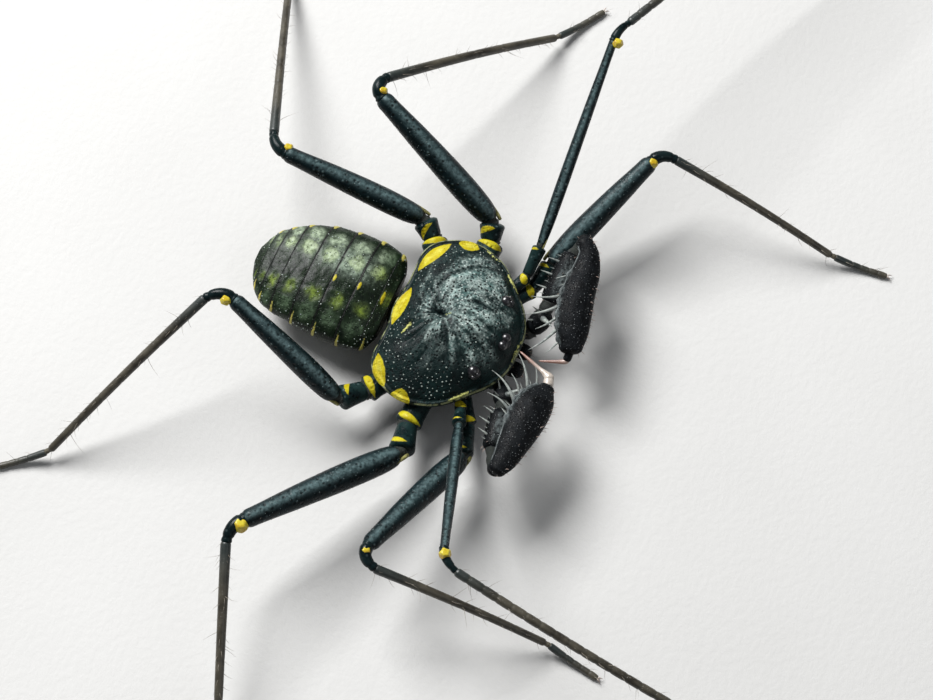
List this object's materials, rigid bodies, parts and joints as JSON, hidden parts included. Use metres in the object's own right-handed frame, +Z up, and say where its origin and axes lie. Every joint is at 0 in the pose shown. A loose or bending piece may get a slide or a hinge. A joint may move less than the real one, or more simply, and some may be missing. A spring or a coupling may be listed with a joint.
{
  "type": "whip spider model",
  "caption": "Standing whip spider with a broad carapace, folded spiny pedipalps, long walking legs and whip-like front legs.",
  "frame": {"origin": "middle of the footprint's bounding box, on the floor under the feet", "axes": "+Z up from the floor; the head faces -Y, and the animal's left side is towards +X"},
  "size_m": [0.11, 0.0908, 0.0143],
  "materials": {
    "carapace": "granular chitin, satin",
    "underside": "chitin, satin",
    "abdomen": "granular chitin, satin",
    "femur": "pitted chitin, soft gloss",
    "shank": "hairy chitin, matt",
    "palp": "granular chitin, satin",
    "claw": "smooth chitin, glossy",
    "eye": "glossy lens"
  },
  "bodies": {
    "root": {"carapace": "carapace", "eye_median": "eye", "eye_lateral_left": "eye", "eye_lateral_right": "eye", "underside": "underside", "pedicel": "underside", "abdomen": "abdomen", "chelicera_left": "palp", "pedipalp_left_trochanter": "palp", "pedipalp_left_femur": "palp", "pedipalp_left_tibia": "palp", "pedipalp_left_claw": "claw", "leg1_left_trochanter": "femur", "leg1_left_femur": "femur", "leg1_left_patella": "femur", "leg1_left_tibia": "shank", "leg1_left_tarsus": "shank", "leg2_left_trochanter": "femur", "leg2_left_femur": "femur", "leg2_left_patella": "femur", "leg2_left_tibia": "shank", "leg2_left_tarsus": "shank", "leg3_left_trochanter": "femur", "leg3_left_femur": "femur", "leg3_left_patella": "femur", "leg3_left_tibia": "shank", "leg3_left_tarsus": "shank", "leg4_left_trochanter": "femur", "leg4_left_femur": "femur", "leg4_left_patella": "femur", "leg4_left_tibia": "shank", "leg4_left_tarsus": "shank", "chelicera_right": "palp", "pedipalp_right_trochanter": "palp", "pedipalp_right_femur": "palp", "pedipalp_right_tibia": "palp", "pedipalp_right_claw": "claw", "leg1_right_trochanter": "femur", "leg1_right_femur": "femur", "leg1_right_patella": "femur", "leg1_right_tibia": "shank", "leg1_right_tarsus": "shank", "leg2_right_trochanter": "femur", "leg2_right_femur": "femur", "leg2_right_patella": "femur", "leg2_right_tibia": "shank", "leg2_right_tarsus": "shank", "leg3_right_trochanter": "femur", "leg3_right_femur": "femur", "leg3_right_patella": "femur", "leg3_right_tibia": "shank", "leg3_right_tarsus": "shank", "leg4_right_trochanter": "femur", "leg4_right_femur": "femur", "leg4_right_patella": "femur", "leg4_right_tibia": "shank", "leg4_right_tarsus": "shank"}
  },
  "joints": []
}
